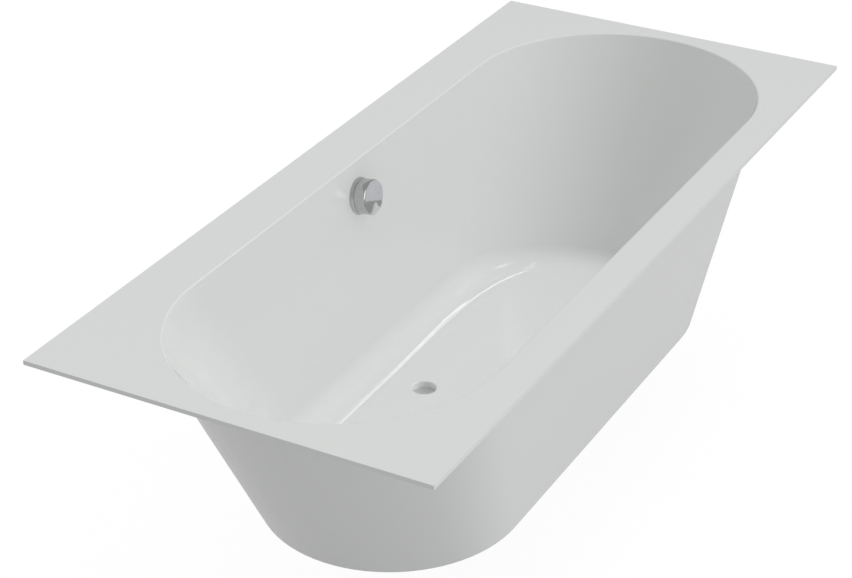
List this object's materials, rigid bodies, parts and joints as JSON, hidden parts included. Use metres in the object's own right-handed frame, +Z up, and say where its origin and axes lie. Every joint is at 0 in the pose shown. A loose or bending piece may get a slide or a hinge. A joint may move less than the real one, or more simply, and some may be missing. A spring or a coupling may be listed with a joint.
{
  "type": "built-in bathtub",
  "caption": "White built-in bathtub with a flat rim and tapering basin, a turning overflow knob that lifts the drain plug, a water trap and levelling feet.",
  "frame": {"origin": "on the floor, under the middle of the rim", "axes": "+X along the tub, +Y towards the long side with the overflow, +Z up"},
  "size_m": [1.7, 0.75, 0.56],
  "materials": {
    "tub_white": "gloss cast white",
    "chrome_trim": "polished",
    "plug_chrome": "satin",
    "steel_fixings": "zinc plated",
    "rail_steel": "galvanised",
    "foot_plastic": "moulded",
    "pipe_plastic": "moulded, semi-matt",
    "fitting_plastic": "moulded, semi-matt",
    "cable_plastic": "extruded",
    "seal_rubber": "matt",
    "brass_parts": "turned"
  },
  "bodies": {
    "tub": {"tub_body": "tub_white", "overflow_flange": "chrome_trim", "overflow_body": "pipe_plastic", "overflow_gasket": "seal_rubber", "overflow_screws": "steel_fixings", "overflow_pipe": "pipe_plastic", "overflow_arm": "pipe_plastic", "overflow_elbow": "pipe_plastic", "pipe_nuts": "fitting_plastic", "pipe_seals": "seal_rubber", "cable_sheath": "cable_plastic", "cable_wire": "steel_fixings", "cable_holder": "fitting_plastic", "cable_guide": "fitting_plastic", "waste_gasket": "seal_rubber", "waste_flange": "pipe_plastic", "waste_body": "pipe_plastic", "waste_screws": "steel_fixings", "trap_bend": "pipe_plastic", "trap_outlet": "pipe_plastic", "trap_nuts": "fitting_plastic", "trap_washers": "seal_rubber", "foot_rail_left": "rail_steel", "foot_rail_right": "rail_steel", "rail_pads": "seal_rubber", "rail_screws": "steel_fixings", "stud_nuts": "steel_fixings", "lock_nuts": "steel_fixings"},
    "knob": {"overflow_knob": "chrome_trim", "knob_grub_screw": "steel_fixings", "overflow_spindle": "brass_parts", "cable_wheel": "fitting_plastic", "wheel_clip": "steel_fixings"},
    "plug": {"plug": "plug_chrome", "plug_seal": "seal_rubber", "plug_stem": "brass_parts"},
    "foot_1": {"foot_stud_1": "steel_fixings", "foot_pad_1": "foot_plastic"},
    "foot_2": {"foot_stud_2": "steel_fixings", "foot_pad_2": "foot_plastic"},
    "foot_3": {"foot_stud_3": "steel_fixings", "foot_pad_3": "foot_plastic"},
    "foot_4": {"foot_stud_4": "steel_fixings", "foot_pad_4": "foot_plastic"}
  },
  "joints": [
    {"name": "knob_turn", "type": "hinge", "parent": "tub", "child": "knob", "pos_m": [0.01, 0.26318, 0.491], "axis": [0, 0.99, -0.1408], "range_deg": [0, 90]},
    {"name": "plug_lift", "type": "slide", "parent": "tub", "child": "plug", "axis": [0, 0, 1], "range_m": [0, 0.012]},
    {"name": "foot_1_height", "type": "slide", "parent": "tub", "child": "foot_1", "axis": [0, 0, -1], "range_m": [0, 0.025]},
    {"name": "foot_2_height", "type": "slide", "parent": "tub", "child": "foot_2", "axis": [0, 0, -1], "range_m": [0, 0.025]},
    {"name": "foot_3_height", "type": "slide", "parent": "tub", "child": "foot_3", "axis": [0, 0, -1], "range_m": [0, 0.025]},
    {"name": "foot_4_height", "type": "slide", "parent": "tub", "child": "foot_4", "axis": [0, 0, -1], "range_m": [0, 0.025]}
  ],
  "couplings": [
    {"joint": "plug_lift", "follows": "knob_turn", "m_per_rad": 0.0076394}
  ]
}
